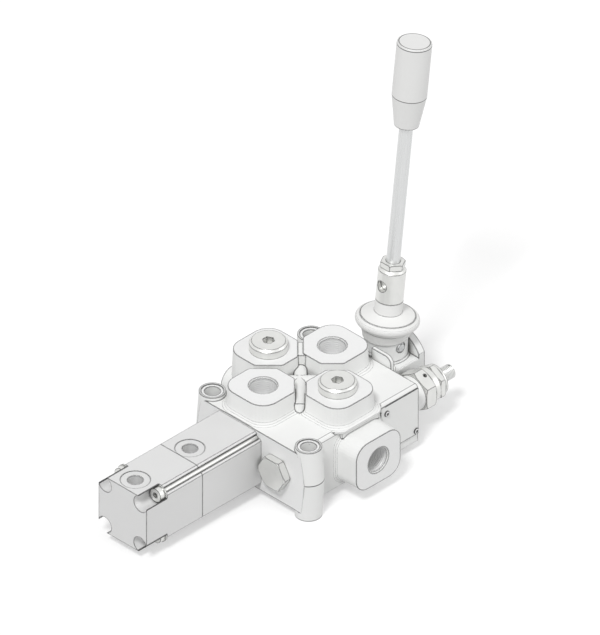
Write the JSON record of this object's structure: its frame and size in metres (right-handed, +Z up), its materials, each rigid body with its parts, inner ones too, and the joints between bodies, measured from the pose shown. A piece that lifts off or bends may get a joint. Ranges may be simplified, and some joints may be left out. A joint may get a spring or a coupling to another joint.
{
  "type": "directional control valve",
  "caption": "Hydraulic spool valve with cast body, square air cylinder on one end, hand lever with boot and knob on the other, and relief valve.",
  "frame": {"origin": "centre of the rear left mounting hole, in the plane of the feet", "axes": "+X along the spool from the air cylinder to the lever, +Y from the front side port to the rear one, +Z up out of the top ports"},
  "size_m": [0.242, 0.1076, 0.2352],
  "materials": {
    "casting": "painted, machined faces",
    "box_casting": "painted die casting",
    "block": "light grey anodised",
    "plated": "zinc plated",
    "steel": "ground",
    "seal": "matte",
    "boot": "matte",
    "knob": "satin"
  },
  "bodies": {
    "valve": {"valve_body": "casting", "top_plugs": "plated", "top_plug_seals": "seal", "end_plug": "plated", "end_plug_seal": "seal", "side_pins": "steel", "check_spring": "steel", "spool_seals": "seal", "outer_block": "block", "inner_block": "block", "block_seals": "seal", "block_screws": "plated", "block_washers": "plated", "rod_seal": "seal", "inner_spring": "steel", "outer_spring": "steel", "relief_cartridge": "plated", "relief_seal": "seal", "relief_spring": "steel", "relief_ring": "plated", "relief_locknut": "plated", "relief_washer": "plated", "lever_box": "box_casting", "box_screws": "plated", "cover_gasket": "seal", "end_cover": "box_casting", "cover_screws": "plated", "pivot_pin": "steel", "lever_boot": "boot"},
    "spool_unit": {"spool": "steel", "piston": "block", "piston_seals": "seal", "piston_rod": "steel", "piston_nut": "plated"},
    "lever": {"lever_arm": "plated", "lever_nut": "plated", "lever_rod": "steel", "lever_knob": "knob"},
    "check": {"check_poppet": "steel"},
    "relief": {"relief_poppet": "steel"},
    "adjuster": {"relief_adjuster": "plated"}
  },
  "joints": [
    {"name": "lever_pivot", "type": "hinge", "parent": "valve", "child": "lever", "pos_m": [0.1097, -0.0278, 0.0413], "axis": [0, 1, 0], "range_deg": [-18, 18], "stiffness_Nm_per_rad": 2.1, "deforming": ["lever_boot"]},
    {"name": "spool_slide", "type": "slide", "parent": "valve", "child": "spool_unit", "axis": [1, 0, 0], "range_m": [-0.0052, 0.0052], "deforming": ["inner_spring", "outer_spring"]},
    {"name": "check_lift", "type": "slide", "parent": "valve", "child": "check", "axis": [-1, 0, 0], "range_m": [0, 0.003], "stiffness_N_per_m": 300, "springref_m": -0.004, "deforming": ["check_spring"]},
    {"name": "relief_lift", "type": "slide", "parent": "valve", "child": "relief", "axis": [1, 0, 0], "range_m": [0, 0.0015], "stiffness_N_per_m": 5000, "springref_m": -0.003, "deforming": ["relief_spring"]},
    {"name": "relief_adjust", "type": "hinge", "parent": "valve", "child": "adjuster", "pos_m": [0.11, -0.0592, 0.02475], "axis": [1, 0, 0], "range_deg": [-360, 360]}
  ],
  "couplings": [
    {"joint": "spool_slide", "follows": "lever_pivot", "m_per_rad": -0.01627}
  ]
}
